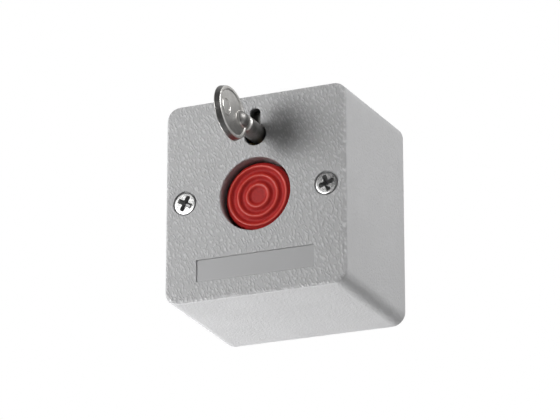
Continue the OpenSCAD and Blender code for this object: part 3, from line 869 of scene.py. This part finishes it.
def barrel_profile():
    """Radius and depth along the key: bore, barrel, shoulder, neck and the boss on the bow."""
    bore_r = 1.7 * MM
    chamfer = 0.3 * MM
    shoulder_r = 1.15 * MM
    boss_edge = 0.7 * MM
    nose = SHOULDER - 0.9 * MM          # where the boss starts
    profile = [(bore_r, key_hi.y - 6 * MM), (bore_r, key_hi.y),
               (BARREL_R - chamfer, key_hi.y), (BARREL_R, key_hi.y - chamfer)]
    profile += [(BARREL_R - shoulder_r + shoulder_r * math.cos(a),
                 SHOULDER + shoulder_r - shoulder_r * math.sin(a)) for a in quarter(9)]
    profile += [(NECK_R + 0.05 * MM, SHOULDER - 0.1 * MM), (NECK_R, SHOULDER - 0.25 * MM),
                (NECK_R, nose + 0.3 * MM), (NECK_R + 0.1 * MM, nose + 0.1 * MM)]
    profile += [(BOSS_R - boss_edge + boss_edge * math.sin(a),
                 nose - boss_edge + boss_edge * math.cos(a)) for a in quarter(6)]
    profile += [(BOSS_R * math.cos(math.radians(a)),
                 nose - 2.5 * MM - 3.2 * MM * math.sin(math.radians(a)))
                for a in range(0, 88, 8)]
    return profile


def key():
    piece = mesh_object("key_cast", oval_x(bow_profile(), BOW_Y, KEY_Z, BOW_HALF, steps=160))
    boolean(piece, lathe(barrel_profile(), z=KEY_Z), "UNION")
    for side in (-1, 1):
        mark = torus_x(MARK_R, MARK_WIRE, side * BOW_WEB, MARK_Y, MARK_Z)
        boolean(piece, mark, "UNION")
    for start, end, top in BIT_STEPS:
        bit = rounded_rect(2 * BIT_HALF, top - BIT_LOW, 0.2 * MM, 3)
        bit = raised(bit, (top + BIT_LOW) / 2)
        boolean(piece, loft([at_depth(bit, start), at_depth(bit, end)]), "UNION")

    axis = Matrix.Translation((0, 0, KEY_Z))
    piece.data.transform(axis @ Matrix.Rotation(-KEY_REST, 4, "Y") @ axis.inverted())
    soften(piece, 40.0)
    weigh_normals(piece)
    dress(piece, "nickel")
    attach(piece, "lock")
    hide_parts("key")


# ---------------------------------------------------------------- inner pieces

def inner_nodes():
    """The CAD nodes that stay, each in its own finish."""
    replaced = {"front_cover", "button_cap", "cover_screws", "key", "return_spring"}
    for entry in frame["record"]["subparts"]:
        name = entry["node"]
        if name in replaced:
            continue
        dress(nodes[name], entry["material_slot"])


# ---------------------------------------------------------------- stage

LAMPS = (                               # name, place, diameter, watts
    ("key_light", (-0.197, -0.42, 0.029), 0.16, 0.9),
    ("wide_light", (-0.295, -0.345, 0.051), 0.2, 0.54),
    ("high_light", (-0.235, -0.418, 0.169), 0.1, 0.05),
    ("under_near", (-0.27, 0.03, -0.34), 0.24, 2.45),
    ("under_light", (-0.40, 0.05, -0.5), 0.4, 0.1),
    ("side_light", (0.57, -0.02, 0.36), 0.22, 3.6),
    ("corner_light", (0.42, 0.02, -0.42), 0.3, 0.52),
)
AMBIENT = 0.09                          # white light from all round
BACKDROP = (0.12, 0.62)                 # what metal mirrors, from before the wall to behind it
STRIPS = 0.8                            # added to it far out on both sides
FLOOR_HALF = 3.0
FLOOR_TOP = -0.75
FLOOR_BOTTOM = -0.76


def lights():
    """Round lamps that all point at the middle of the front."""
    for name, place, size, power in LAMPS:
        data = bpy.data.lights.new(name, "AREA")
        data.shape = "DISK"
        data.size = size
        data.energy = power
        lamp = bpy.data.objects.new(name, data)
        lamp.location = place
        beam = Vector((0, FRONT, 0)) - Vector(place)
        lamp.rotation_euler = beam.to_track_quat("-Z", "Y").to_euler()
        bpy.context.scene.collection.objects.link(lamp)


def surroundings():
    """Faint light all round, pure white to the camera, and a graded backdrop in metal."""
    world = bpy.data.worlds.new("studio")
    bpy.context.scene.world = world
    world.use_nodes = True
    w = Nodes(world.node_tree)
    ambient = w.tree.nodes["Background"]
    white = w.node("ShaderNodeBackground")
    for background, strength in ((ambient, AMBIENT), (white, 1.0)):
        background.inputs["Color"].default_value = (1, 1, 1, 1)
        background.inputs["Strength"].default_value = strength

    x, y = w.axes(w.node("ShaderNodeTexCoord").outputs["Generated"])[:2]
    beside = w.absolute(x)
    around = w.math("MULTIPLY_ADD", beside, 1.2, y)
    graded = w.plus(w.remap(around, -0.2, 0.6, *BACKDROP, smooth=True),
                    w.remap(beside, 0.55, 0.9, 0.0, STRIPS, smooth=True))
    path = w.node("ShaderNodeLightPath")
    mirrored = w.times(path.outputs["Is Glossy Ray"], graded)
    share = w.math("MAXIMUM", mirrored, path.outputs["Is Camera Ray"])
    mix = w.node("ShaderNodeMixShader")
    w.link(share, mix.inputs[0])
    w.link(ambient.outputs[0], mix.inputs[1])
    w.link(white.outputs[0], mix.inputs[2])
    w.link(mix.outputs[0], w.tree.nodes["World Output"].inputs["Surface"])


def floor():
    square = [(-FLOOR_HALF, -FLOOR_HALF), (FLOOR_HALF, -FLOOR_HALF),
              (FLOOR_HALF, FLOOR_HALF), (-FLOOR_HALF, FLOOR_HALF)]
    slab = loft([[(x, y, z) for x, y in square] for z in (FLOOR_BOTTOM, FLOOR_TOP)])
    plane = mesh_object("floor", slab)
    plane.data.materials.append(floor_material())


def camera():
    """Looks up at the front from the lower right."""
    azimuth = math.radians(23.61)
    elevation = math.radians(-19.35)
    distance = 1.0661
    aim = Vector((-3.0 * MM, -22.2 * MM, 3.4 * MM))
    back = Vector((math.sin(azimuth) * math.cos(elevation),
                   -math.cos(azimuth) * math.cos(elevation), math.sin(elevation)))
    data = bpy.data.cameras.new("camera")
    data.sensor_width = 36
    data.lens = 200.8
    data.clip_start = 0.01
    data.clip_end = 20
    eye = bpy.data.objects.new("camera", data)
    eye.location = aim + back * distance
    eye.rotation_euler = (-back).to_track_quat("-Z", "Y").to_euler()
    bpy.context.scene.collection.objects.link(eye)
    bpy.context.scene.camera = eye
    bpy.context.scene.view_settings.view_transform = "Standard"


camera()
lights()
surroundings()
floor()
inner_nodes()
front_cover()
button_cap()
return_spring()
cover_screws()
key()
